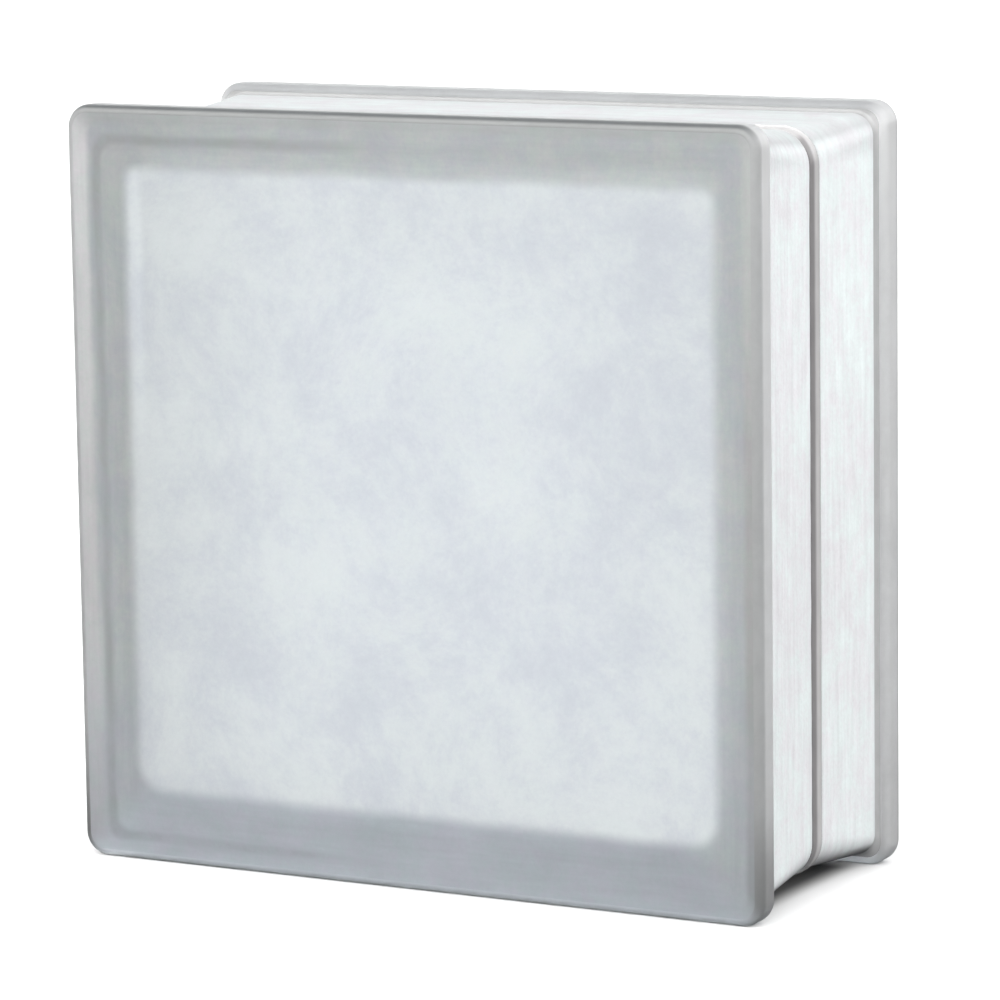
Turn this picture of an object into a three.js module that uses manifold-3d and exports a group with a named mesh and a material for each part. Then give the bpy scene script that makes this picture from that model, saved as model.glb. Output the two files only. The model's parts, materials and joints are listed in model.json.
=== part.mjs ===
// Hollow glass block with satin faces, standing on edge.
//
// Two identical half shells are pressed in glass and fused rim to rim. Each is a tray: a thick face plate
// whose lip stands proud all round, and four side walls that end in a fusion bead. Between the two lips
// lies the mortar channel, and each half's share of it carries a band of white keying coat.
//
// Millimetres. X is the width, +Z is up, and the faces look along -Y (front) and +Y (back). The origin is
// under the middle of the block, on the surface that its lips stand on.

import * as THREE from "three";
import { mergeVertices, toCreasedNormals } from "three/addons/utils/BufferGeometryUtils.js";
import Module from "manifold-3d";

// Overall size, over the lips and the faces.
const WIDTH = 190;
const HEIGHT = 190;
const DEPTH = 80;

// Face plate and its lip. The corner radius is the outline's.
const FACE_THICKNESS = 9;
const LIP_THICKNESS = 8;
const LIP_EDGE_RADIUS = 2;
const LIP_CORNER_RADIUS = 6;

// Side walls: how far the channel's floor lies inside the lip and the corner radius of its outline, first at
// the bead and then beside the lip, the cove that it ends in there, and the glass left at the rim.
const CHANNEL_DEPTH = 4.8;
const WALL_CORNER_RADIUS = 8;
const LIP_SIDE_DEPTH = 3.4;
const LIP_SIDE_CORNER_RADIUS = 5;
const COVE_RADIUS = 1.2;
const RIM_THICKNESS = 6;

// Fusion bead along the seam, half of it on each shell, and the line between the two rims.
const BEAD_HEIGHT = 1.3;
const BEAD_WIDTH = 5;
const SEAM_GAP = 0.3;

// Cavity of each half, as its plunger leaves it. The corner radius is that of the flat floor.
const CAVITY_DRAFT_DEG = 3;
const CAVITY_FILLET_RADIUS = 8;
const CAVITY_CORNER_RADIUS = 3;

// White coat on the channel's floor, from the bead to the cove.
const COAT_THICKNESS = 0.35;
const COAT_CLEARANCE = 0.15;

// How far a cutter runs past what it cuts.
const CUT_MARGIN = 1;

// Facets: an arc in a section or an outline has twice its divisions.
const SECTION_DIVISIONS = 3;
const OUTLINE_DIVISIONS = 5;
const CREASE_DEG = 35;
const MERGE_DISTANCE = 1e-4;

const SATIN_GLASS = { name: "satin_glass", color: 0xc9d0d1, roughness: 0.55, metalness: 0 };
const WHITE_COAT = { name: "white_coat", color: 0xe8ebeb, roughness: 0.85, metalness: 0 };

const wasm = await Module();
wasm.setup();

// Depths from the mid-plane of the block towards either face.
const faceDepth = DEPTH / 2;
const lipBack = faceDepth - LIP_THICKNESS;
const cavityFloor = faceDepth - FACE_THICKNESS;
const rimDepth = SEAM_GAP / 2;
const beadEnd = BEAD_WIDTH / 2;
const coveStart = lipBack - COVE_RADIUS;

// An edge can't be rounder than half its lip, or than the corner it runs round.
const lipEdge = Math.min(LIP_EDGE_RADIUS, LIP_THICKNESS / 2, 0.9 * LIP_CORNER_RADIUS);

// An outline of the block, moved outwards by offset from the lip's own, which is a rounded rectangle.
function outline(offset, cornerRadius) {
  const x = WIDTH / 2 + offset - cornerRadius;
  const y = HEIGHT / 2 + offset - cornerRadius;
  const quarter = Math.PI / 2;
  const shape = new THREE.Shape();
  shape.absarc(x, y, cornerRadius, 0, quarter);
  shape.absarc(-x, y, cornerRadius, quarter, 2 * quarter);
  shape.absarc(-x, -y, cornerRadius, 2 * quarter, 3 * quarter);
  shape.absarc(x, -y, cornerRadius, 3 * quarter, 4 * quarter);
  return shape;
}

// A solid whose side is a section carried round the block's outline, closed by flat ends. A section runs
// in the plane (offset from the lip's outline, depth), and cornerAt gives the corner radius there.
function loft(section, cornerAt) {
  const stations = section.getPoints(SECTION_DIVISIONS);
  const rings = stations.map(({ x: offset, y: depth }) => {
    return outline(offset, cornerAt(offset, depth)).getPoints(OUTLINE_DIVISIONS);
  });
  const positions = rings.flatMap((ring, i) => ring.flatMap((point) => [point.x, point.y, stations[i].y]));
  const around = rings[0].length;
  const lastRing = around * (rings.length - 1);

  const index = [];
  for (let ring = 0; ring < lastRing; ring += around) {
    for (let j = 0; j < around; j++) {
      const low = ring + j;
      const lowNext = ring + ((j + 1) % around);
      index.push(low, lowNext, lowNext + around);
      index.push(low, lowNext + around, low + around);
    }
  }
  for (const [a, b, c] of THREE.ShapeUtils.triangulateShape(rings[0], [])) {
    index.push(a, c, b);
    index.push(lastRing + a, lastRing + b, lastRing + c);
  }

  const geometry = new THREE.BufferGeometry();
  geometry.setAttribute("position", new THREE.Float32BufferAttribute(positions, 3));
  geometry.setIndex(index);
  return geometry;
}

function toSolid(geometry) {
  const merged = mergeVertices(geometry, MERGE_DISTANCE);
  const mesh = new wasm.Mesh({
    numProp: 3,
    vertProperties: merged.getAttribute("position").array,
    triVerts: new Uint32Array(merged.getIndex().array),
  });
  return new wasm.Manifold(mesh);
}

function toGeometry(solid) {
  const mesh = solid.getMesh();
  const geometry = new THREE.BufferGeometry();
  geometry.setAttribute("position", new THREE.BufferAttribute(mesh.vertProperties, 3));
  geometry.setIndex(new THREE.BufferAttribute(mesh.triVerts, 1));
  return toCreasedNormals(geometry, THREE.MathUtils.degToRad(CREASE_DEG));
}

// The face plate out to its lip, with both of the lip's edges rounded.
function facePlate() {
  const section = new THREE.Path();
  section.absarc(-lipEdge, lipBack + lipEdge, lipEdge, -Math.PI / 2, 0);
  section.absarc(-lipEdge, faceDepth - lipEdge, lipEdge, 0, Math.PI / 2);
  return loft(section, (offset) => LIP_CORNER_RADIUS + offset);
}

// Where the channel's floor runs at a depth, and its corner radius there. The pressing's taper changes both
// evenly from the bead to the cove.
function channelFloor(depth) {
  const along = THREE.MathUtils.inverseLerp(beadEnd, coveStart, depth);
  return {
    offset: -THREE.MathUtils.lerp(CHANNEL_DEPTH, LIP_SIDE_DEPTH, along),
    corner: THREE.MathUtils.lerp(WALL_CORNER_RADIUS, LIP_SIDE_CORNER_RADIUS, along),
  };
}

// Corner radius of an outline that runs beside the channel's floor.
function wallCorner(offset, depth) {
  const floor = channelFloor(depth);
  return floor.corner + offset - floor.offset;
}

// The side walls as a block: half the fusion bead, the channel's floor, and the cove that flares into the
// back of the lip.
function wallBlock() {
  const coveCentre = COVE_RADIUS - LIP_SIDE_DEPTH;
  const section = new THREE.Path();
  section.absellipse(-CHANNEL_DEPTH, rimDepth, BEAD_HEIGHT, beadEnd - rimDepth, 0, Math.PI / 2);
  section.absarc(coveCentre, coveStart, COVE_RADIUS, Math.PI, Math.PI / 2, true);
  section.lineTo(coveCentre, lipBack + lipEdge);
  return loft(section, wallCorner);
}

// The plunger: drafted sides, from clear of the rim down to a floor with a round edge.
function cavity() {
  const draft = THREE.MathUtils.degToRad(CAVITY_DRAFT_DEG);
  const radius = Math.min(CAVITY_FILLET_RADIUS, cavityFloor / 2);
  const side = (depth) => -CHANNEL_DEPTH - RIM_THICKNESS - depth * Math.tan(draft);
  const filletDepth = cavityFloor - radius;
  const filletCentre = side(filletDepth) - radius / Math.cos(draft);
  const section = new THREE.Path();
  section.moveTo(side(-CUT_MARGIN), -CUT_MARGIN);
  section.lineTo(side(0), 0);
  section.absarc(filletCentre, filletDepth, radius, draft, Math.PI / 2);
  return loft(section, (offset) => CAVITY_CORNER_RADIUS + offset - filletCentre);
}

// One pressed half, with the seam at z = 0 and its face towards +z.
function halfShell() {
  const body = toSolid(facePlate()).add(toSolid(wallBlock()));
  return toGeometry(body.subtract(toSolid(cavity())));
}

// A block with the shape of the channel's floor between two depths, raised by a distance.
function raisedFloor(distance, start, end) {
  const section = new THREE.Path();
  section.moveTo(channelFloor(start).offset + distance, start);
  section.lineTo(channelFloor(end).offset + distance, end);
  return toSolid(loft(section, wallCorner));
}

// The coat on one half's share of the channel.
function edgeCoat() {
  const start = beadEnd + COAT_CLEARANCE;
  const outside = raisedFloor(COAT_CLEARANCE + COAT_THICKNESS, start, coveStart);
  const inside = raisedFloor(COAT_CLEARANCE, start - CUT_MARGIN, coveStart + CUT_MARGIN);
  return toGeometry(outside.subtract(inside));
}

function namedMesh(name, geometry, finish) {
  const mesh = new THREE.Mesh(geometry, new THREE.MeshStandardMaterial(finish));
  mesh.name = name;
  return mesh;
}

const shell = halfShell();
const coat = edgeCoat();

// One half of the block, stood up and turned about X so that its face looks the way it should.
function half(side, turn) {
  const group = new THREE.Group();
  group.add(namedMesh(`${side}_shell`, shell, SATIN_GLASS));
  group.add(namedMesh(`${side}_edge_coat`, coat, WHITE_COAT));
  group.position.z = HEIGHT / 2;
  group.rotation.x = turn;
  return group;
}

const glassBlock = new THREE.Group();
glassBlock.name = "glass_block";
glassBlock.add(half("front", Math.PI / 2), half("back", -Math.PI / 2));

export default glassBlock;
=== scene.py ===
"""Satin glass block: two fused half shells with a white keying coat, in a plain studio.

The block's construction is loaded as a fixed frame. The glass and its coat are modelled here as smooth
meshes in the places that the frame gives, in metres, with +Z up and the front face towards -Y. Each is
worked with its axis along Z and its mid-plane at Z = 0, as it lies in the press, and then stood up.
"""

import json
import logging
import math
from collections.abc import Callable, Mapping
from dataclasses import asdict, dataclass, field, replace
from enum import Enum
from functools import cached_property

import bmesh
import bpy
from bmesh.types import BMEdge, BMesh, BMFace
from bpy.types import Material, Node, NodeSocket as Socket, NodeTree, Object
from mathutils import Matrix, Vector, noise

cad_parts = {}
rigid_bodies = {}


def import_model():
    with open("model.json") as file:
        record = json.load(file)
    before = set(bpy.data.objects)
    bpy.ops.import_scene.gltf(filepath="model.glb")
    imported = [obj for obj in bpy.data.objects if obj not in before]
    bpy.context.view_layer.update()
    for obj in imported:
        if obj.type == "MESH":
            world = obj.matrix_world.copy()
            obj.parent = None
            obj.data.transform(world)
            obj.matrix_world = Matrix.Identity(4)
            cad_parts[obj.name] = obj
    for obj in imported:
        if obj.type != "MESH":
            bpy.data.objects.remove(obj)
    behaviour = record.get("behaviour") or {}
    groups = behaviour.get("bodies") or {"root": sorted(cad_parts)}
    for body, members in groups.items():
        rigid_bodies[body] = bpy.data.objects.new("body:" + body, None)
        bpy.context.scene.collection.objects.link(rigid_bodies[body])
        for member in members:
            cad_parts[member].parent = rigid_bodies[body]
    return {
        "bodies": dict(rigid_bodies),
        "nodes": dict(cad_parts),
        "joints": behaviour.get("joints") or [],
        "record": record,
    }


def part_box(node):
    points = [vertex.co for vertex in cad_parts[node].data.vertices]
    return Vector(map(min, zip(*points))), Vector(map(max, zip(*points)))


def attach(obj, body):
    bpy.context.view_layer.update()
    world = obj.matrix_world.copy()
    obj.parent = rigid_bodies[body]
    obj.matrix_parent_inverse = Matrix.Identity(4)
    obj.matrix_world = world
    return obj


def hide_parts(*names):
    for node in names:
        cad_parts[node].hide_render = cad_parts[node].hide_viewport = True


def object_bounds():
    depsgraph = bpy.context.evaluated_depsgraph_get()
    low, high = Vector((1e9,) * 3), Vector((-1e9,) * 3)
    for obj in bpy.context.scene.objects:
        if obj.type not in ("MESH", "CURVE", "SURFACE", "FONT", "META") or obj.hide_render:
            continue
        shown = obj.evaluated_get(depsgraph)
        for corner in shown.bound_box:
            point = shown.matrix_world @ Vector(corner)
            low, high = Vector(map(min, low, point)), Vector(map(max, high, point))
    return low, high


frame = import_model()
cad_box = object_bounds()

MM = 0.001
WELD = 1e-6  # points nearer than this are one
SHARP_DEG = 40  # edges that turn by more than this stay sharp
log = logging.getLogger("glass_block")

Colour = tuple[float, float, float]
Colours = tuple[Colour, ...]
Range = tuple[float, float]
Ramp = tuple[Range, Range]  # where it starts and ends, and the levels there


class Slot(Enum):
    """Material slots of the frame's record."""

    GLASS = "satin_glass"
    COAT = "white_coat"


class Side(Enum):
    """The two halves of the block, with the sign of their depth in the working position."""

    FRONT = 1
    BACK = -1

    @property
    def label(self) -> str:
        """The half's name in the names of pieces and nodes."""
        return self.name.lower()


class Skin(Enum):
    """The finishes on the glass, by their place in its list of materials."""

    SATIN = 0
    EDGE = 1
    CLOUDED = 2
    COATED = 3
    FUSED = 4
    BARE = 5


# ---- Outlines and skins


@dataclass(frozen=True)
class Ring:
    """A rounded rectangle round the block's axis."""

    offset: float  # how far outside the lip's outline it runs, negative inside
    corner: float  # corner radius
    depth: float  # distance from the block's mid-plane


@dataclass
class Section:
    """A profile of the block, as the rings that it sweeps round the outline."""

    corner_at: Callable[[float, float], float]  # a ring's corner radius, from its offset and its depth
    rings: list[Ring] = field(default_factory=list)

    def to(self, offset: float, depth: float) -> None:
        """Adds a ring at an offset from the lip's outline and a depth."""
        self.rings.append(Ring(offset, self.corner_at(offset, depth), depth))

    def arc(self, centre: Range, radii: Range, turn_deg: Range, steps: int) -> None:
        """Adds the rings of an arc.

        Args:
            centre: Offset and depth of the arc's centre.
            radii: Its radius along the offset and along the depth.
            turn_deg: Its start and end. At 0 the arc is outermost, and at 90 nearest the face.
            steps: Facets along it.
        """
        start, end = (math.radians(angle) for angle in turn_deg)
        for step in range(steps + 1):
            angle = start + (end - start) * step / steps
            self.to(centre[0] + radii[0] * math.cos(angle), centre[1] + radii[1] * math.sin(angle))


@dataclass(frozen=True)
class Outline:
    """The block's outline, from which every ring is offset."""

    width: float  # along X
    height: float  # along Z, once the block stands
    corner_segments: int = 12  # edges in each rounded corner
    stack: float = 10 * MM  # how far apart rings stand while they are joined

    def add(self, bm: BMesh, ring: Ring) -> list[BMEdge]:
        """Adds one ring of edges, level at its depth along Z.

        Args:
            bm: The mesh that takes the ring.
            ring: Which outline to add.

        Returns:
            The ring's edges.
        """
        size = Matrix.Diagonal((self.width + 2 * ring.offset, self.height + 2 * ring.offset, 1, 1))
        place = Matrix.Translation((0, 0, ring.depth)) @ size
        sheet = bmesh.ops.create_grid(bm, x_segments=1, y_segments=1, size=0.5, matrix=place)
        rounded = bmesh.ops.bevel(
            bm,
            geom=sheet["verts"],
            offset=ring.corner,
            segments=self.corner_segments,
            profile=0.5,
            affect="VERTICES",
        )
        face = max(rounded["verts"][0].link_faces, key=lambda f: len(f.verts))
        edges = list(face.edges)
        bmesh.ops.delete(bm, geom=[face], context="FACES_ONLY")
        return edges

    def loft(self, bm: BMesh, rings: list[Ring]) -> list[list[BMEdge]]:
        """Joins rings, each to the next, and then brings every ring to its depth.

        The rings are joined while they stand well apart along Z, which pairs their corners rightly even
        where two of them lie in one plane.

        Args:
            bm: The mesh that takes them.
            rings: The outlines, in order.

        Returns:
            Each ring's edges.
        """
        heights = [index * self.stack for index in range(len(rings))]
        loops = [self.add(bm, replace(ring, depth=height)) for ring, height in zip(rings, heights)]
        for low, high in zip(loops, loops[1:]):
            bmesh.ops.bridge_loops(bm, edges=low + high)
        for ring, height, loop in zip(rings, heights, loops):
            verts = list({vert for edge in loop for vert in edge.verts})
            bmesh.ops.translate(bm, verts=verts, vec=(0, 0, ring.depth - height))
        return loops

    def divide_lengths(self, bm: BMesh, step: float) -> None:
        """Cuts the straight runs along the outline, so that they can take a wavy edge.

        Args:
            bm: The lofted mesh, still in its working position.
            step: About how long each cut piece is.
        """
        longest = max(self.width, self.height)
        runs = [edge for edge in bm.edges if edge.calc_length() > longest / 2]
        bmesh.ops.subdivide_edges(bm, edges=runs, cuts=round(longest / step), use_grid_fill=True)


@dataclass(frozen=True)
class Channel:
    """The floor of the mortar channel on one half, which tapers from the bead to the lip."""

    bead_end: float  # depth at which it leaves the bead
    lip_end: float  # depth at which it meets the lip's cove
    bead_inset: float = 4.8 * MM  # how far inside the lip's outline it lies at the bead
    lip_inset: float = 3.4 * MM
    bead_corner: float = 8 * MM  # corner radius of its outline at the bead
    lip_corner: float = 5 * MM

    def along(self, depth: float, at_bead: float, at_lip: float) -> float:
        """Gives a value that changes evenly from the bead to the lip, at a depth."""
        return at_bead + (at_lip - at_bead) * (depth - self.bead_end) / (self.lip_end - self.bead_end)

    def offset(self, depth: float) -> float:
        """Gives the floor's offset from the lip's outline at a depth."""
        return -self.along(depth, self.bead_inset, self.lip_inset)

    def corner_at(self, offset: float, depth: float) -> float:
        """Gives the corner radius of a ring that runs beside the floor, from its offset and its depth."""
        return self.along(depth, self.bead_corner, self.lip_corner) + offset - self.offset(depth)


def is_pane(face: BMFace) -> bool:
    """Tells the flat end of a skin, which has many corners, from the strips round it."""
    return len(face.verts) > 4


def mirror_half(bm: BMesh) -> None:
    """Adds the other half of a mesh whose open rim lies on the mid-plane, and welds the two.

    Args:
        bm: The mesh.
    """
    bmesh.ops.mirror(bm, geom=bm.verts[:] + bm.edges[:] + bm.faces[:], merge_dist=WELD, axis="Z")
    bmesh.ops.remove_doubles(bm, verts=bm.verts[:], dist=WELD)
    bmesh.ops.recalc_face_normals(bm, faces=bm.faces[:])


def stand_up(bm: BMesh, height: float) -> None:
    """Turns a mesh from its working position, depth along Z, to stand on the floor with its front at -Y."""
    turn = Matrix.Translation((0, 0, height / 2)) @ Matrix.Rotation(math.radians(90), 4, "X")
    bmesh.ops.transform(bm, matrix=turn, verts=bm.verts[:])


def as_object(bm: BMesh, name: str) -> Object:
    """Makes a scene object of a mesh, smooth shaded except across sharp edges.

    Args:
        bm: The finished mesh. It is freed.
        name: The piece's name.

    Returns:
        The object, whose flat faces shade flat up to their rounded edges.
    """
    mesh = bpy.data.meshes.new(name)
    bm.to_mesh(mesh)
    bm.free()
    mesh.shade_smooth()
    mesh.set_sharp_from_angle(angle=math.radians(SHARP_DEG))
    obj = bpy.data.objects.new(name, mesh)
    bpy.context.scene.collection.objects.link(obj)
    obj.modifiers.new("flat_faces", "WEIGHTED_NORMAL").keep_sharp = True
    return obj


# ---- Shader parts


Value = Socket | float
Values = tuple[Value, Value]
Feed = Value | Colour | Vector
Sockets = Mapping[str, Socket]


class Wiring:
    """Adds nodes to one node tree and joins them."""

    def __init__(self, tree: NodeTree) -> None:
        """Takes the tree to work on."""
        self.tree = tree

    def feed(self, node: Node, inputs: Mapping[str | int, Feed]) -> None:
        """Joins a node's inputs to other nodes' outputs, or gives them plain values.

        Args:
            node: The node.
            inputs: What each input gets, by its name or number.
        """
        for key, value in inputs.items():
            socket = node.inputs[key]
            if isinstance(value, Socket):
                self.tree.links.new(value, socket)
            else:
                socket.default_value = (*value, 1) if socket.type == "RGBA" else value

    def add(self, kind: str, inputs: Mapping[str | int, Feed], **settings: object) -> Sockets:
        """Adds a node and feeds it.

        Args:
            kind: The node's type, without its ShaderNode prefix.
            inputs: What feeds it.
            settings: Properties to set on it.

        Returns:
            Its outputs.
        """
        node = self.tree.nodes.new(f"ShaderNode{kind}")
        for name, value in settings.items():
            setattr(node, name, value)
        self.feed(node, inputs)
        return node.outputs

    def maths(self, operation: str, *values: Value) -> Socket:
        """Works out one number."""
        return self.add("Math", dict(enumerate(values)), operation=operation)["Value"]

    def ramp(self, value: Value, source: Values, target: Values = (0.0, 1.0)) -> Socket:
        """Eases a value from one level to another, between the start and the end of a ramp."""
        levels = zip(("Value", "From Min", "From Max", "To Min", "To Max"), (value, *source, *target))
        return self.add("MapRange", dict(levels), interpolation_type="SMOOTHSTEP")["Result"]

    def ranged(self, value: Value, low: float, high: float) -> Socket:
        """Spreads a value of 0 to 1 over a range."""
        return self.maths("MULTIPLY_ADD", value, high - low, low)

    def varied(self, value: Value, swing: float) -> Socket:
        """Spreads a value of 0 to 1 round 1, by a swing either way."""
        return self.ranged(value, 1 - swing, 1 + swing)

    def blend(self, factor: Value, low: Feed, high: Feed) -> Socket:
        """Mixes two colours by the numbers of a Mix node's colour sockets."""
        return self.add("Mix", {0: factor, 6: low, 7: high}, data_type="RGBA")[2]

    def place(self, space: str = "Object") -> Socket:
        """Gives the point on the object, in metres, or another texture coordinate."""
        return self.add("TexCoord", {})[space]

    def axes(self, space: str = "Object") -> Sockets:
        """Parts that point by axis."""
        return self.add("SeparateXYZ", {"Vector": self.place(space)})

    def scaled(self, *parts: tuple[Socket, Value]) -> Socket:
        """Joins three coordinates into a point, each with what it is multiplied by."""
        inputs = dict(enumerate(self.maths("MULTIPLY", *part) for part in parts))
        return self.add("CombineXYZ", inputs)["Vector"]

    def noise(self, place: Socket, **settings: Value) -> Socket:
        """Gives noise of 0 to 1 at a point."""
        return self.add("TexNoise", {"Vector": place, **settings})["Fac"]


class Group(Wiring):
    """A shader node group in the making."""

    def __init__(self, name: str, inputs: Mapping[str, float]) -> None:
        """Starts a group.

        Args:
            name: Its name.
            inputs: Its number inputs and their usual values. Inside, given holds them by name.
        """
        super().__init__(bpy.data.node_groups.new(name, "ShaderNodeTree"))
        for label, value in inputs.items():
            self.add_socket(label, "INPUT").default_value = value
        self.given = self.tree.nodes.new("NodeGroupInput").outputs

    def add_socket(self, label: str, way: str) -> bpy.types.NodeTreeInterfaceSocket:
        """Gives the group a number socket."""
        return self.tree.interface.new_socket(name=label, in_out=way, socket_type="NodeSocketFloat")

    def finish(self, **results: Socket) -> NodeTree:
        """Gives the group its outputs.

        Args:
            results: What each output gives, by name.

        Returns:
            The finished group.
        """
        for label in results:
            self.add_socket(label, "OUTPUT")
        self.feed(self.tree.nodes.new("NodeGroupOutput"), results)
        return self.tree


def grain_group() -> NodeTree:
    """Makes the fine grain of an etched or sprayed surface, which may be drawn out along the channels.

    Returns:
        A group from Scale and Along, the scale across and along the faces, to a Height of 0 to 1.
    """
    group = Group("grain", {"Scale": 1000.0, "Along": 1000.0})
    at, along = group.axes(), group.given["Along"]
    place = group.scaled((at["X"], along), (at["Y"], group.given["Scale"]), (at["Z"], along))
    return group.finish(Height=group.noise(place, Scale=1.0, Detail=3.0))


def clouds_group() -> NodeTree:
    """Makes soft patches, several across the block, that bend into one another.

    Returns:
        A group from Scale and Contrast to a Density round 1, and to a Cover of 1 in the patches and 0
        between them.
    """
    edge = 0.12
    group = Group("clouds", {"Scale": 30.0, "Contrast": 0.1})
    settings = {"Detail": 7.0, "Roughness": 0.82, "Distortion": 0.2}
    texture = group.noise(group.place(), Scale=group.given["Scale"], **settings)
    swing = group.maths("SUBTRACT", texture, 0.5)
    density = group.maths("MULTIPLY_ADD", swing, group.given["Contrast"], 1.0)
    return group.finish(Density=density, Cover=group.ramp(swing, (-edge, edge)))


@dataclass(frozen=True)
class Area:
    """A part of the block's faces, in millimetres."""

    left: float  # how far in from the block's left side it starts
    right: float
    top: float
    foot: float
    corner: float = 4  # how round its upper corners are
    low_corner: float = 4
    softness: float = 2  # how wide its soft edge is
    wander: float = 0  # how unsteady that edge is

    def inputs(self) -> dict[str, float]:
        """Gives the panel group's inputs for it, in metres."""
        return {name.replace("_", " ").title(): size * MM for name, size in asdict(self).items()}


def panel_group(outline: Outline) -> NodeTree:
    """Makes a mask of an area of the faces, a rounded rectangle with an unsteady edge.

    Args:
        outline: The block's outline.

    Returns:
        A group from an area's inputs to Middle, 1 in the area and 0 outside it.
    """
    group = Group("panel", Area(15, 15, 15, 15).inputs())
    maths, given, at = group.maths, group.given, group.axes()
    side, height = outline.width / 2, outline.height
    low_end, high_start = 0.35 * height, 0.65 * height
    corner = group.ramp(at["Z"], (low_end, high_start), (given["Low Corner"], given["Corner"]))
    beyond = []
    level, upright = ("X", -side, side, "Left", "Right"), ("Z", 0.0, height, "Foot", "Top")
    for axis, low, high, near, far in (level, upright):
        short = maths("SUBTRACT", maths("ADD", given[near], low), at[axis])
        over = maths("SUBTRACT", maths("ADD", given[far], at[axis]), high)
        beyond.append(maths("ADD", maths("MAXIMUM", short, over), corner))
    squares = [maths("POWER", maths("MAXIMUM", part, 0.0), 2.0) for part in beyond]
    outside = maths("SQRT", maths("ADD", *squares))
    inside = maths("MINIMUM", maths("MAXIMUM", *beyond), 0.0)
    distance = maths("SUBTRACT", maths("ADD", outside, inside), corner)
    swing = maths("SUBTRACT", group.noise(group.place(), Scale=55.0), 0.5)
    distance = maths("MULTIPLY_ADD", swing, given["Wander"], distance)
    edge = tuple(maths("MULTIPLY", given["Softness"], half) for half in (-0.5, 0.5))
    return group.finish(Middle=group.ramp(distance, edge, (1.0, 0.0)))


def flank_group(outline: Outline) -> NodeTree:
    """Makes a mask of the upright sides, parted from the top and the foot along the diagonals.

    Args:
        outline: The block's outline.

    Returns:
        A group to Flank, 1 by the upright sides and 0 by the top and the foot, to Height, 0 at the foot
        and 1 at the top, to Across, 0 at the -X side and 1 at the +X side, and to Depth, the distance
        from the mid-plane in metres.
    """
    softness = 6 * MM
    group = Group("flank", {})
    maths, at = group.maths, group.axes()
    along = maths("ABSOLUTE", maths("SUBTRACT", at["Z"], outline.height / 2))
    reach = maths("SUBTRACT", maths("ABSOLUTE", at["X"]), along)
    return group.finish(
        Flank=group.ramp(reach, (-softness, softness)),
        Height=maths("DIVIDE", at["Z"], outline.height),
        Across=maths("MULTIPLY_ADD", at["X"], 1 / outline.width, 0.5),
        Depth=maths("ABSOLUTE", at["Y"]),
    )


def strokes_group(flank: NodeTree) -> NodeTree:
    """Makes faint strokes along the frame: upright by the sides, level along the top and the foot.

    Args:
        flank: The mask of the upright sides.

    Returns:
        A group from Scale, the scale across the strokes, and Length, how many times longer they are than
        wide, to a Height of 0 to 1.
    """
    group = Group("strokes", {"Scale": 1000.0, "Length": 12.0})
    at, scale = group.axes(), group.given["Scale"]
    slow = group.maths("DIVIDE", scale, group.given["Length"])
    heights = []
    for across, along in (("Z", "X"), ("X", "Z")):
        place = group.scaled((at[across], scale), (at["Y"], scale), (at[along], slow))
        heights.append(group.noise(place, Scale=1.0, Detail=3.0))
    level, upright = heights
    mask = group.add("Group", {}, node_tree=flank)["Flank"]
    swing = group.maths("SUBTRACT", upright, level)
    return group.finish(Height=group.maths("MULTIPLY_ADD", swing, mask, level))


@dataclass(frozen=True)
class Effects:
    """The node groups that the finishes share."""

    grain: NodeTree
    clouds: NodeTree
    panel: NodeTree
    flank: NodeTree
    strokes: NodeTree

    @classmethod
    def build(cls, outline: Outline) -> "Effects":
        """Makes the groups for a block of one outline."""
        flank = flank_group(outline)
        return cls(grain_group(), clouds_group(), panel_group(outline), flank, strokes_group(flank))


class Paint(Wiring):
    """A material in the making."""

    def __init__(self, name: str, effects: Effects) -> None:
        """Starts a material.

        Args:
            name: Its name.
            effects: The shared node groups.
        """
        self.material = bpy.data.materials.new(name)
        self.material.use_nodes = True
        self.effects = effects
        super().__init__(self.material.node_tree)

    @cached_property
    def at(self) -> Sockets:
        """Where a point lies on the block, by the flank group's outputs."""
        return self.add("Group", {}, node_tree=self.effects.flank)

    def grain(self, scale: float, along: float) -> Socket:
        """Gives the grain's height, by its scales across and along the faces."""
        return self.add("Group", {"Scale": scale, "Along": along}, node_tree=self.effects.grain)["Height"]

    def clouds(self, scale: float, contrast: float = 0.0) -> Sockets:
        """Gives the density and the cover of clouds."""
        return self.add("Group", {"Scale": scale, "Contrast": contrast}, node_tree=self.effects.clouds)

    def strokes(self, scale: float, length: float) -> Socket:
        """Gives the height of strokes along the frame."""
        return self.add("Group", {"Scale": scale, "Length": length}, node_tree=self.effects.strokes)["Height"]

    def mask(self, area: Area) -> Socket:
        """Masks an area of the faces."""
        return self.add("Group", area.inputs(), node_tree=self.effects.panel)["Middle"]

    def toned(self, colour: Feed, *strengths: Value) -> Socket:
        """Multiplies a colour.

        Args:
            colour: The colour.
            strengths: What it is multiplied by.

        Returns:
            The product.
        """
        for strength in strengths:
            colour = self.add("VectorMath", {0: colour, "Scale": strength}, operation="SCALE")["Vector"]
        return colour

    def tinted(self, colour: Socket, factor: Value, tints: Colours) -> Socket:
        """Multiplies a colour by a tint, which a factor picks between two."""
        inputs = {0: colour, 1: self.blend(factor, *tints)}
        return self.add("VectorMath", inputs, operation="MULTIPLY")["Vector"]

    def bumped(self, height: Value, depth: float) -> Socket:
        """Turns a height of 0 to 1 into a normal, where 1 stands for a depth in metres."""
        return self.add("Bump", {"Distance": depth, "Height": height})["Normal"]

    def set(self, **values: Feed) -> None:
        """Feeds the shader's inputs by name, with underscores for spaces."""
        inputs = {name.replace("_", " "): value for name, value in values.items()}
        self.feed(self.tree.nodes["Principled BSDF"], inputs)


# ---- Finishes


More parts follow.
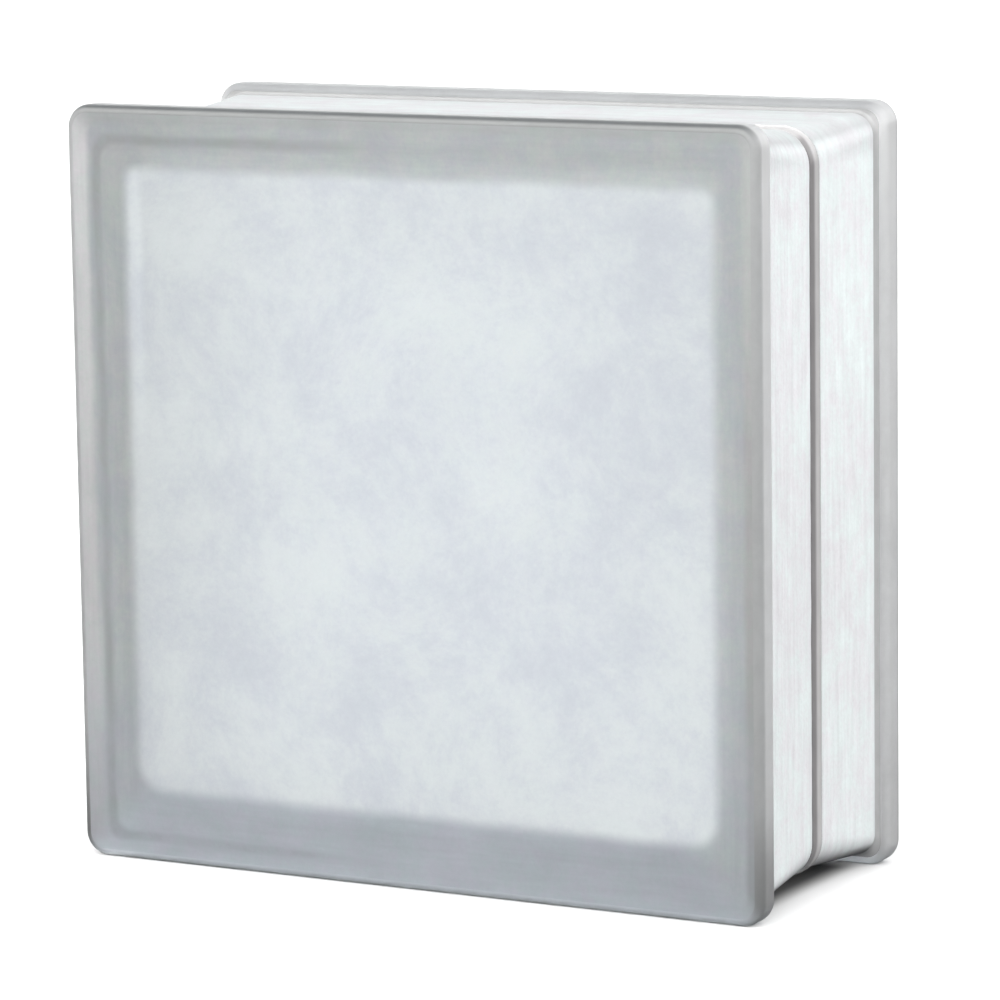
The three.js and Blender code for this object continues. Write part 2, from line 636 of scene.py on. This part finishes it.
@dataclass(frozen=True)
class GlassFinish:
    """What the finishes on the glass have in common, as etched glass has it."""

    name: str
    grain: Range = (900.0, 900.0)  # scale of its grain, across and along the faces
    speckle: float = 0.04  # how much the grain changes its tone, up and down
    relief: float = 0.02 * MM  # depth of the grain, or 0 where it is smooth
    roughness: Range = (0.38, 0.5)
    transmission: float = 0.5
    ior: float = 1.52

    def colour(self, paint: Paint) -> Socket:
        """Gives its colour, apart from the grain."""
        raise NotImplementedError

    def build(self, effects: Effects) -> Material:
        """Makes the material.

        Args:
            effects: The shared node groups.

        Returns:
            The material.
        """
        paint = Paint(self.name, effects)
        grain = paint.grain(*self.grain)
        paint.set(
            Base_Color=paint.toned(self.colour(paint), paint.varied(grain, self.speckle)),
            Roughness=paint.ranged(grain, *self.roughness),
            IOR=self.ior,
            Transmission_Weight=self.transmission,
        )
        if self.relief:
            paint.set(Normal=paint.bumped(grain, self.relief))
        return paint.material


@dataclass(frozen=True)
class SatinGlass(GlassFinish):
    """Acid-etched glass of the faces, with painted light milky over the hollow and painted shade grey over
    the solid frame round it.
    """

    name: str = "satin_glass"
    side: Ramp = ((0.05, 0.38), (0.9, 1.0))  # painted shade: tone across the face, darker towards its left side
    stray: float = 140.0  # scale of the stray tints

    # The window, lit by painted light: its colours between the clouds and in them, and what they stray
    # between.
    window: Colours = ((0.832, 0.872, 0.93), (0.897, 0.945, 0.955))
    window_tints: Colours = ((0.996, 1.002, 0.998), (1.004, 0.998, 1.002))
    window_area: Area = Area(16.9, 11.7, 15.4, 18.5, corner=3, low_corner=7, softness=4, wander=1.2)
    clouds: Range = (24.0, 0.36)  # their scale and contrast
    glow: Range = (0.945, 1.01)  # painted light: tone at the window's rim and in its middle, lighter in the middle
    glow_area: Area = Area(55, 35, 25, 45, corner=30, softness=80, wander=30)
    gleam: float = 1.14  # tone of the strip where one wall of the hollow catches the light
    gleam_rise: Ramp = ((0.45, 0.8), (0.0, 1.0))  # how much of it there is, by height
    gleam_end: Area = Area(21.4, 8, 12, 12, corner=3, softness=3, wander=1.2)

    # The frame inside the lip, greyed by painted shade: the same, for its patches.
    border: Colours = ((0.583, 0.613, 0.645), (0.61, 0.645, 0.63))
    border_tints: Colours = ((0.97, 1.01, 0.985), (1.03, 0.99, 1.015))
    border_area: Area = Area(6.2, 4, 4, 4, wander=1)
    patches: Range = (50.0, 0.4)  # their scale and contrast
    strokes: tuple[Range, Range] = ((900.0, 14.0), (330.0, 9.0))  # their scales and lengths
    swings: Range = (0.07, 0.09)  # how much they change the tone
    dim: Ramp = ((0.0, 0.3), (0.86, 1.0))  # painted shade: tone by height, darker towards the foot

    # Painted shade at the foot: a darker, bluer colour.
    foot: Colour = (0.55, 0.59, 0.643)
    foot_rise: Ramp = ((0.15, 0.35), (1.0, 0.0))  # how much of it there is, by height
    foot_flank: float = 0.45  # how much of that is left by the upright sides
    foot_tones: Range = (1.06, 0.88)  # at the left and at the right

    # The lip: along the top and the foot, left and right, with painted light making its left side lighter
    # than its right.
    lip: Colours = ((0.575, 0.603, 0.6), (0.775, 0.78, 0.785), (0.585, 0.59, 0.585))
    lip_rise: Range = (0.78, 1.11)  # painted shade: tone at its foot and at its top, darker low
    right_rise: Ramp = ((0.5, 0.8), (0.96, 1.1))  # painted highlight: the right side's tone beyond that, by height, lighter high up
    soil: Range = (0.76, 0.48)  # painted shade: tone right at its foot, at the left and at the right
    soil_top: float = 0.2  # where that has gone, in parts of the height

    # The shaded line behind the lip.
    line: float = 0.74
    line_start: Area = Area(7.7, 5, 7.2, 5, wander=2)
    line_end: Area = Area(10.1, 7.4, 9.6, 7.4, wander=2)
    line_side: Ramp = ((0.3, 0.5), (1.0, 0.1))  # how much of it there is across the face
    ragged: float = 0.4  # how much of it there is between the patches

    def colour(self, paint: Paint) -> Socket:
        """Colours the face.

        Args:
            paint: The material.

        Returns:
            The colour.
        """
        window = paint.mask(self.window_area)
        tone = paint.blend(window, self.frame_tone(paint), self.window_tone(paint, window))
        return paint.toned(tone, paint.ramp(paint.at["Across"], *self.side))

    def frame_tone(self, paint: Paint) -> Socket:
        """Colours the frame round the window: the lip, the line inside it and the border.

        Args:
            paint: The material.

        Returns:
            The colour.
        """
        at, patches = paint.at, paint.clouds(*self.patches)
        border = paint.blend(patches["Cover"], *self.border)
        border = paint.toned(border, paint.ramp(at["Height"], *self.dim))
        frame = paint.blend(paint.mask(self.border_area), self.lip_tone(paint), border)
        # painted shade: the frame darker and bluer towards its foot
        low = paint.ramp(at["Height"], *self.foot_rise)
        low = paint.maths("MULTIPLY", low, paint.ranged(at["Flank"], 1.0, self.foot_flank))
        foot = paint.toned(self.foot, paint.ranged(at["Across"], *self.foot_tones))
        frame = paint.blend(low, frame, foot)
        frame = paint.tinted(frame, paint.clouds(self.stray)["Cover"], self.border_tints)
        for stroke, swing in zip(self.strokes, self.swings):
            frame = paint.toned(frame, paint.varied(paint.strokes(*stroke), swing))
        line = paint.maths("SUBTRACT", paint.mask(self.line_start), paint.mask(self.line_end))
        line = paint.maths("MULTIPLY", line, paint.ranged(patches["Cover"], self.ragged, 1.0))
        line = paint.maths("MULTIPLY", line, paint.ramp(at["Across"], *self.line_side))
        return paint.toned(frame, paint.ranged(line, 1.0, self.line), patches["Density"])

    def lip_tone(self, paint: Paint) -> Socket:
        """Colours the lip.

        Args:
            paint: The material.

        Returns:
            The colour.
        """
        at, (level, left, right) = paint.at, self.lip
        right = paint.toned(right, paint.ramp(at["Height"], *self.right_rise))
        # painted shade at the lip's foot, deeper at the right
        soil = paint.ranged(at["Across"], *self.soil)
        soil = paint.ramp(at["Height"], (0.0, self.soil_top), (soil, 1.0))
        upright = paint.blend(at["Across"], left, right)
        upright = paint.toned(upright, soil, paint.ranged(at["Height"], *self.lip_rise))
        return paint.blend(at["Flank"], level, upright)

    def window_tone(self, paint: Paint, window: Value) -> Socket:
        """Colours the window: its clouds, the painted glow of its middle and the gleam along one side.

        Args:
            paint: The material.
            window: The window's mask.

        Returns:
            The colour.
        """
        clouds = paint.clouds(*self.clouds)
        tone = paint.blend(clouds["Cover"], *self.window)
        tone = paint.tinted(tone, paint.clouds(self.stray)["Cover"], self.window_tints)
        glow = paint.ranged(paint.mask(self.glow_area), *self.glow)
        strip = paint.maths("MAXIMUM", paint.maths("SUBTRACT", window, paint.mask(self.gleam_end)), 0.0)
        gleam = paint.maths("MULTIPLY", strip, paint.ramp(paint.at["Height"], *self.gleam_rise))
        return paint.toned(tone, glow, paint.ranged(gleam, 1.0, self.gleam), clouds["Density"])


@dataclass(frozen=True)
class EdgeGlass(GlassFinish):
    """The same etched skin where it turns over the lip's rounded edges."""

    name: str = "edge_glass"
    grain: Range = (700.0, 200.0)
    speckle: float = 0.06
    relief: float = 0.03 * MM
    roughness: Range = (0.35, 0.5)
    clouds: Range = (60.0, 0.4)  # their scale and contrast
    # Painted light along the foot, against the shade below it, and of the face's edge above.
    foot: Colours = ((0.93, 0.97, 1.0), (0.65, 0.69, 0.74))
    # Painted shade along the top, of the darker line where it turns over and of the face's edge below.
    top: Colours = ((0.51, 0.52, 0.53), (0.17, 0.18, 0.185), (0.44, 0.45, 0.445))
    # Painted light by the upright sides, lighter than the top, and where they turn to a face.
    upright: Colours = ((0.93, 0.93, 0.935), (0.575, 0.58, 0.58))
    rise: Range = (0.82, 1.14)  # painted shade: their tone at their foot and at their top, darker low
    turn: Range = (37.2 * MM, 38.8 * MM)  # how far from the mid-plane they turn
    face: Range = (39.35 * MM, 39.9 * MM)  # how far from it the face's edge sets in
    soil: float = 0.44  # painted shade: the front ones' tone right at their foot
    soil_top: float = 0.2  # where that has gone, in parts of the height
    soil_end: Range = (-1 * MM, 1 * MM)  # where it ends along Y, past the front half

    def colour(self, paint: Paint) -> Socket:
        """Colours the edge.

        Args:
            paint: The material.

        Returns:
            The colour.
        """
        at = paint.at
        turned = paint.ramp(at["Depth"], self.turn)
        near = paint.ramp(at["Depth"], self.face)
        top, line, face = self.top
        top = paint.blend(turned, top, paint.blend(near, line, face))
        level = paint.blend(at["Height"], paint.blend(near, *self.foot), top)
        # painted shade at the foot of the front edges
        soil = paint.ramp(paint.axes()["Y"], self.soil_end, (self.soil, 1.0))
        soil = paint.ramp(at["Height"], (0.0, self.soil_top), (soil, 1.0))
        upright = paint.blend(turned, *self.upright)
        upright = paint.toned(upright, paint.ranged(at["Height"], *self.rise), soil)
        return paint.toned(paint.blend(at["Flank"], level, upright), paint.clouds(*self.clouds)["Density"])


@dataclass(frozen=True)
class CloudedGlass(GlassFinish):
    """The frosted inside, which spreads the light that the faces let in."""

    name: str = "clouded_glass"
    grain: Range = (350.0, 350.0)
    speckle: float = 0.0
    relief: float = 0.0
    roughness: Range = (0.82, 0.95)
    transmission: float = 0.2
    base: Colour = (0.95, 0.985, 1.0)
    clouds: Range = (22.0, 0.22)  # their scale and contrast

    def colour(self, paint: Paint) -> Socket:
        """Colours the inside."""
        return paint.toned(self.base, paint.clouds(*self.clouds)["Density"])


@dataclass(frozen=True)
class FusedGlass(GlassFinish):
    """Fire-polished bare glass of the bead, with painted shade at the bead's foot, darker than on its crest.
    """

    name: str = "fused_glass"
    grain: Range = (500.0, 120.0)
    speckle: float = 0.12
    relief: float = 0.05 * MM
    roughness: Range = (0.12, 0.3)
    transmission: float = 0.35
    crest: Colour = (0.73, 0.715, 0.715)
    foot: Colour = (0.34, 0.325, 0.33)
    fall: Range = (0.8 * MM, 1.8 * MM)  # from the crest's end to the foot's start
    level: Ramp = ((0.1, 0.6), (0.1, 1.0))  # how much foot there is, from the top to the upright sides

    def colour(self, paint: Paint) -> Socket:
        """Colours the bead."""
        falls = paint.ramp(paint.at["Depth"], self.fall), paint.ramp(paint.at["Flank"], *self.level)
        return paint.blend(paint.maths("MULTIPLY", *falls), self.crest, self.foot)


@dataclass(frozen=True)
class KeyingCoat:
    """Sprayed matt white coat, laid on in strokes along the channel."""

    name: str = "white_coat"
    warm: Colour = (0.775, 0.77, 0.795)  # between the patches
    cool: Colour = (0.727, 0.782, 0.782)  # in the patches
    patches: float = 70.0  # scale of the patches
    patch: float = 0.45  # how much they change its tone
    strokes: Range = (600.0, 45.0)  # scale of its strokes, across and along the channel
    streak: float = 0.13  # how much they change its tone, up and down
    grain: Range = (1100.0, 1100.0)
    speckle: float = 0.06  # how much the grain changes its tone
    relief: float = 0.08 * MM  # depth of the strokes and of the grain
    roughness: Range = (0.75, 0.92)
    rise: Ramp = ((0.35, 0.8), (0.97, 1.06))  # painted shade: tone by height, darker towards the foot
    dust: float = 0.68  # painted shade: tone where it lies level, along the top and the foot
    dust_end: Range = (0.55, 1.0)  # where that ends, in the flank mask
    corner: float = 0.87  # painted shade: tone above the start of its upper corners
    corner_rise: Range = (0.925, 0.95)  # where that sets in, in parts of the height
    cove: float = 0.55  # painted shade: tone in the cove by the lip, where it lies level
    cove_depth: Range = (30.4 * MM, 31.4 * MM)  # how far from the mid-plane that sets in
    foot: float = 0.3  # painted shade: tone of its underside, under the block
    foot_rise: Range = (0.02, 0.036)  # where that shade ends, in parts of the height

    def build(self, effects: Effects) -> Material:
        """Makes the material.

        Args:
            effects: The shared node groups.

        Returns:
            The material.
        """
        paint = Paint(self.name, effects)
        streaks, grain = paint.grain(*self.strokes), paint.grain(*self.grain)
        at, patches = paint.at, paint.clouds(self.patches, self.patch)
        level = paint.maths("SUBTRACT", 1.0, at["Flank"])
        cove = paint.ramp(at["Depth"], self.cove_depth)
        strengths = (
            paint.varied(streaks, self.streak),
            paint.ramp(at["Height"], self.foot_rise, (self.foot, 1.0)),
            paint.ramp(at["Flank"], self.dust_end, (self.dust, 1.0)),
            paint.ramp(at["Height"], *self.rise),
            paint.ramp(at["Height"], self.corner_rise, (1.0, self.corner)),
            paint.ranged(paint.maths("MULTIPLY", cove, level), 1.0, self.cove),
            patches["Density"],
            paint.varied(grain, self.speckle),
        )
        paint.set(
            Base_Color=paint.toned(paint.blend(patches["Cover"], self.warm, self.cool), *strengths),
            Roughness=paint.ranged(grain, *self.roughness),
            Normal=paint.bumped(paint.maths("ADD", streaks, grain), self.relief),
        )
        return paint.material


# ---- Pieces


@dataclass
class GlassBody:
    """The two pressed half shells, fused into one hollow body of glass."""

    outline: Outline
    half_depth: float  # from the mid-plane to a face
    lip_thickness: float = 8 * MM
    lip_edge: float = 2 * MM  # radius of its edges
    lip_corner: float = 6 * MM  # radius of its corners
    cove: float = 1.2 * MM  # fillet beside it, on the channel's floor
    bead_height: float = 1.3 * MM  # above the channel's floor
    bead_half_width: float = 2.5 * MM  # from the mid-plane to the bead's edge
    face_thickness: float = 9 * MM
    rim_thickness: float = 6 * MM  # of the wall at the mid-plane
    draft_deg: float = 3.0  # taper of the hollow's walls
    fillet: float = 8 * MM  # between its walls and its floor
    cavity_corner: float = 3 * MM  # radius of its corners
    edge_segments: int = 8  # facets along a rounded edge
    cove_segments: int = 4
    relief: float = 0.5 * MM  # height of the clouds pressed on the hollow's floor
    relief_size: float = 26 * MM  # their rough size
    relief_step: float = 3 * MM  # pitch of the mesh that carries them
    relief_fade: float = 10 * MM  # width over which they die out at its rim
    relief_waves: tuple[float, float, int] = (1.0, 2.0, 3)  # weakening, gap and number of their octaves

    @property
    def channel(self) -> Channel:
        """The mortar channel's floor, from the bead to the cove."""
        return Channel(self.bead_half_width, self.half_depth - self.lip_thickness - self.cove)

    def outer(self) -> BMesh:
        """Models the outside: faces, lips, coves, channel floors and the fused bead.

        Returns:
            The closed skin, in its working position.
        """
        lip_back = self.half_depth - self.lip_thickness
        channel, edge, cove = self.channel, self.lip_edge, self.cove
        bead = (self.bead_height, self.bead_half_width)
        wall = Section(channel.corner_at)
        wall.arc((-channel.bead_inset, 0), bead, (0, 90), self.edge_segments)
        wall.arc((cove - channel.lip_inset, channel.lip_end), (cove, cove), (180, 90), self.cove_segments)
        lip = Section(lambda offset, depth: self.lip_corner + offset)
        lip.arc((-edge, lip_back + edge), (edge, edge), (-90, 0), self.edge_segments)
        lip.arc((-edge, self.half_depth - edge), (edge, edge), (0, 90), self.edge_segments)
        bm = self.skin(wall.rings + lip.rings)
        bands = ((channel.bead_end, Skin.FUSED), (channel.lip_end, Skin.COATED), (lip_back, Skin.BARE))
        for face in bm.faces:
            depth = abs(face.calc_center_median().z)
            proud = Skin.SATIN if is_pane(face) else Skin.EDGE
            skin = next((band for end, band in bands if depth < end), proud)
            face.material_index = skin.value
        return bm

    def cavity(self) -> BMesh:
        """Models the inside, as the two plungers leave it.

        Returns:
            The closed skin, in its working position, facing out of its own hollow.
        """
        draft = math.radians(self.draft_deg)
        rim = -self.channel.bead_inset - self.rim_thickness
        fillet_depth = self.half_depth - self.face_thickness - self.fillet
        fillet_offset = rim - fillet_depth * math.tan(draft) - self.fillet / math.cos(draft)
        inside = Section(lambda offset, depth: self.cavity_corner + offset - fillet_offset)
        inside.to(rim, 0)
        radii = (self.fillet, self.fillet)
        inside.arc((fillet_offset, fillet_depth), radii, (self.draft_deg, 90), self.edge_segments)
        bm = self.skin(inside.rings)
        self.emboss(bm, -fillet_offset)
        for face in bm.faces:
            face.material_index = Skin.CLOUDED.value
        return bm

    def skin(self, rings: list[Ring]) -> BMesh:
        """Lofts one half's skin from the mid-plane to its face, closes the face and mirrors it.

        Args:
            rings: The outlines, from the mid-plane on.

        Returns:
            The closed skin, facing outwards.
        """
        bm = bmesh.new()
        loops = self.outline.loft(bm, rings)
        bmesh.ops.contextual_create(bm, geom=loops[-1])
        mirror_half(bm)
        return bm

    def emboss(self, bm: BMesh, inset: float) -> None:
        """Presses the cloud relief into both floors of the hollow.

        Args:
            bm: The hollow's skin.
            inset: How far the floors' rim lies inside the lip's outline.
        """
        panes = [face for face in bm.faces if is_pane(face)]
        half_x, half_y = self.outline.width / 2 - inset, self.outline.height / 2 - inset
        for axis, half in ((Vector((1, 0, 0)), half_x), (Vector((0, 1, 0)), half_y)):
            count = math.ceil(2 * half / self.relief_step)
            for cut in range(1, count):
                place = axis * half * (2 * cut / count - 1)
                geom = panes + list({edge for face in panes for edge in face.edges})
                geom += list({vert for face in panes for vert in face.verts})
                done = bmesh.ops.bisect_plane(bm, geom=geom, dist=WELD, plane_co=place, plane_no=axis)
                panes = [item for item in done["geom"] if isinstance(item, BMFace)]
        for vert in {vert for face in panes for vert in face.verts}:
            to_rim = min(half_x - abs(vert.co.x), half_y - abs(vert.co.y))
            fade = min(max(to_rim / self.relief_fade, 0), 1)
            height = math.copysign(self.relief, vert.co.z) * fade * fade * (3 - 2 * fade)
            vert.co.z -= height * noise.fractal(vert.co / self.relief_size, *self.relief_waves)

    def build(self) -> Object:
        """Models the glass.

        Returns:
            The piece.
        """
        bm = self.outer()
        inner = self.cavity()
        bmesh.ops.reverse_faces(inner, faces=inner.faces[:])
        hollow = bpy.data.meshes.new("hollow")
        inner.to_mesh(hollow)
        inner.free()
        bm.from_mesh(hollow)
        bpy.data.meshes.remove(hollow)
        stand_up(bm, self.outline.height)
        return as_object(bm, "glass_body")

    def dress(self, piece: Object, effects: Effects) -> None:
        """Gives the glass its finishes.

        Args:
            piece: The glass.
            effects: The shared node groups.
        """
        plain_white = (0.93, 0.94, 0.94)
        # the coat seen behind the glass: fainter streaks and patches, and none of the painted shade
        behind = {"streak": 0.02, "patch": 0.05, "dust": 1, "corner": 1, "cove": 1, "foot": 1}
        finishes = {
            Skin.SATIN: SatinGlass(),
            Skin.EDGE: EdgeGlass(),
            Skin.CLOUDED: CloudedGlass(),
            Skin.COATED: KeyingCoat("coat_behind_glass", plain_white, plain_white, **behind),
            Skin.FUSED: FusedGlass(),
            Skin.BARE: FusedGlass("bare_glass", crest=(0.5, 0.5, 0.5), foot=(0.68, 0.68, 0.68)),
        }
        for skin in Skin:
            piece.data.materials.append(finishes[skin].build(effects))


@dataclass
class EdgeCoat:
    """The white coat on one half's share of the channel."""

    outline: Outline
    side: Side
    body: GlassBody  # the glass that carries it
    clearance: float = 0.05 * MM  # to the glass
    thickness: float = 0.45 * MM
    feather: float = 0.3 * MM  # radius of its edges
    feather_segments: int = 3
    ragged: float = 0.45 * MM  # how far the edge beside the bead wanders
    ragged_size: float = 7 * MM  # rough length of its waves
    ragged_depth: float = 50 * MM  # where each half is read in the noise
    step: float = 2.5 * MM  # length of the cuts along the channel

    def build(self) -> Object:
        """Models the band.

        Returns:
            The piece.
        """
        low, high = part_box(f"{self.side.label}_edge_coat")
        start, end = sorted((abs(low.y), abs(high.y)))
        channel, feather, inner = self.body.channel, self.feather, self.clearance
        crown = inner + self.thickness - feather
        band = Section(channel.corner_at)
        band.to(channel.offset(start) + inner, start)
        for depth, turn_deg in ((start + feather, (-90, 0)), (end - feather, (0, 90))):
            centre = (channel.offset(depth) + crown, depth)
            band.arc(centre, (feather, feather), turn_deg, self.feather_segments)
        band.to(channel.offset(end) + inner, end)
        bm = bmesh.new()
        loops = self.outline.loft(bm, band.rings)
        bmesh.ops.bridge_loops(bm, edges=loops[-1] + loops[0])
        bmesh.ops.recalc_face_normals(bm, faces=bm.faces[:])
        self.outline.divide_lengths(bm, self.step)
        self.fray(bm, start)
        if self.side is Side.BACK:
            bmesh.ops.scale(bm, vec=(1, 1, -1), verts=bm.verts[:])
            bmesh.ops.reverse_faces(bm, faces=bm.faces[:])
        stand_up(bm, self.outline.height)
        return as_object(bm, f"{self.side.label}_coat")

    def fray(self, bm: BMesh, start: float) -> None:
        """Makes the edge beside the bead wander, as a sprayed edge does.

        Args:
            bm: The band, in its working position.
            start: Depth of that edge.
        """
        for vert in bm.verts:
            if vert.co.z < start + 2 * self.feather:
                place = Vector((vert.co.x, vert.co.y, self.ragged_depth * self.side.value))
                vert.co.z += self.ragged * (0.5 + 0.5 * noise.noise(place / self.ragged_size))

    def dress(self, piece: Object, effects: Effects) -> None:
        """Gives the band its finish."""
        piece.data.materials.append(KeyingCoat().build(effects))


# ---- Studio


@dataclass(frozen=True)
class SoftBox:
    """A broad soft light on the studio's surround."""

    direction: tuple[float, float, float]  # where it stands, seen from the block
    focus: float  # how narrow it is: at 1 it fills half the surround
    strength: float  # how bright its middle is


@dataclass
class Studio:
    """Pale floor, soft light and the camera."""

    centre: Vector  # middle of the block
    half: Vector  # half the block's size
    effects: Effects
    ambient: float = 0.27  # of the surround away from the soft boxes
    horizon: float = 0.3  # sine of the height up to which the surround is dimmed
    low: float = 0.1  # how bright it is along the floor
    boxes: tuple[SoftBox, ...] = (
        SoftBox((1, 0.2, 0.3), 3, 3.3),
        SoftBox((-0.2, -1, 0.3), 3, 4.7),
        SoftBox((-0.5, 1, 0.3), 3, 1.8),
    )
    floor_reach: float = 6.0  # from its middle to its edge
    floor_seen: Colour = (0.95, 0.95, 0.95)  # the open floor in the picture
    floor_shadow: Colour = (0.16, 0.16, 0.16)  # painted shadow on the floor right under the block
    floor_unseen: Colour = (0.1, 0.1, 0.1)  # in all that the block reflects
    floor_roughness: float = 0.9
    shadow_inset: float = 6 * MM  # how far inside the outline the painted shadow ends
    shadow_fade: float = 8 * MM  # width over which its shade sets in
    azimuth_deg: float = 28.58  # of the camera, to the right of the front face
    elevation_deg: float = 9.02  # how far it looks down
    roll_deg: float = -0.80  # how far it leans
    distance: float = 1.2818  # to the point that it looks at
    aim_right: float = 0.00385  # from the block's middle to that point
    aim_up: float = -0.00404
    focal: float = 5.1599  # focal length, in widths of the picture
    sight: float = 50.0  # how far the camera sees

    def floor(self) -> Object:
        """Lays the floor, with a painted shadow right under the block.

        Returns:
            The floor.
        """
        bm = bmesh.new()
        bmesh.ops.create_grid(bm, x_segments=1, y_segments=1, size=self.floor_reach)
        obj = as_object(bm, "studio_floor")
        paint = Paint("studio_floor", self.effects)
        at = paint.axes()
        # painted shadow: the floor dark right under the block
        shadow_mask: Value = 1.0
        for name, half in zip("XY", self.half):
            edge = half - self.shadow_inset
            far = paint.maths("ABSOLUTE", at[name])
            inside = paint.ramp(far, (edge - self.shadow_fade, edge), (1.0, 0.0))
            shadow_mask = paint.maths("MULTIPLY", shadow_mask, inside)
        floor = paint.blend(shadow_mask, self.floor_seen, self.floor_shadow)
        seen = paint.add("LightPath", {})["Is Camera Ray"]
        paint.set(Base_Color=paint.blend(seen, self.floor_unseen, floor), Roughness=self.floor_roughness)
        obj.data.materials.append(paint.material)
        return obj

    def light(self) -> None:
        """Lights the block softly, mostly from the front and from the right."""
        world = bpy.data.worlds.new("studio")
        world.use_nodes = True
        wiring = Wiring(world.node_tree)
        direction = wiring.place("Generated")
        glow: Value = self.ambient
        for box in self.boxes:
            inputs = {0: direction, 1: Vector(box.direction).normalized()}
            facing = wiring.add("VectorMath", inputs, operation="DOT_PRODUCT")["Value"]
            lobe = wiring.maths("POWER", wiring.maths("MAXIMUM", facing, 0.0), box.focus)
            glow = wiring.maths("MULTIPLY_ADD", lobe, box.strength, glow)
        height = wiring.axes("Generated")["Z"]
        glow = wiring.maths("MULTIPLY", glow, wiring.ramp(height, (0.0, self.horizon), (self.low, 1.0)))
        seen = wiring.add("LightPath", {})["Is Camera Ray"]
        strength = wiring.maths("MAXIMUM", glow, seen)
        wiring.feed(world.node_tree.nodes["Background"], {"Color": (1, 1, 1), "Strength": strength})
        world.cycles.sampling_method = "NONE"
        bpy.context.scene.world = world
        bpy.context.scene.view_settings.view_transform = "Standard"

    def camera(self) -> None:
        """Sets the camera."""
        azimuth, elevation = math.radians(self.azimuth_deg), math.radians(self.elevation_deg)
        look = Matrix.Rotation(azimuth, 3, "Z") @ Vector((0, math.cos(elevation), -math.sin(elevation)))
        lean = Matrix.Rotation(math.radians(self.roll_deg), 3, -look)
        right = lean @ Vector((math.cos(azimuth), math.sin(azimuth), 0))
        up = right.cross(look)
        target = self.centre + right * self.aim_right + up * self.aim_up
        data = bpy.data.cameras.new("camera")
        data.lens = data.sensor_width * self.focal
        data.clip_end = self.sight
        obj = bpy.data.objects.new("camera", data)
        turn = Matrix((right, up, -look)).transposed().to_4x4()
        obj.matrix_world = Matrix.Translation(target - look * self.distance) @ turn
        bpy.context.scene.collection.objects.link(obj)
        bpy.context.scene.camera = obj


def report(piece: Object) -> None:
    """Says what a piece is made of."""
    log.info("%s: %d faces, %d finishes", piece.name, len(piece.data.polygons), len(piece.data.materials))


def main() -> None:
    """Builds the block and its studio."""
    logging.basicConfig(level=logging.INFO, format="%(name)s: %(message)s")
    low, high = cad_box
    size = high - low
    outline = Outline(size.x, size.z)
    effects = Effects.build(outline)
    body = GlassBody(outline, size.y / 2)
    glass = body.build()
    body.dress(glass, effects)
    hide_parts("front_shell", "back_shell")
    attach(glass, "root")
    report(glass)
    for side in Side:
        coat = EdgeCoat(outline, side, body)
        band = coat.build()
        coat.dress(band, effects)
        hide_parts(f"{side.label}_edge_coat")
        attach(band, "root")
        report(band)
    studio = Studio((low + high) / 2, size / 2, effects)
    report(studio.floor())
    studio.light()
    studio.camera()


if __name__ == "__main__":
    main()
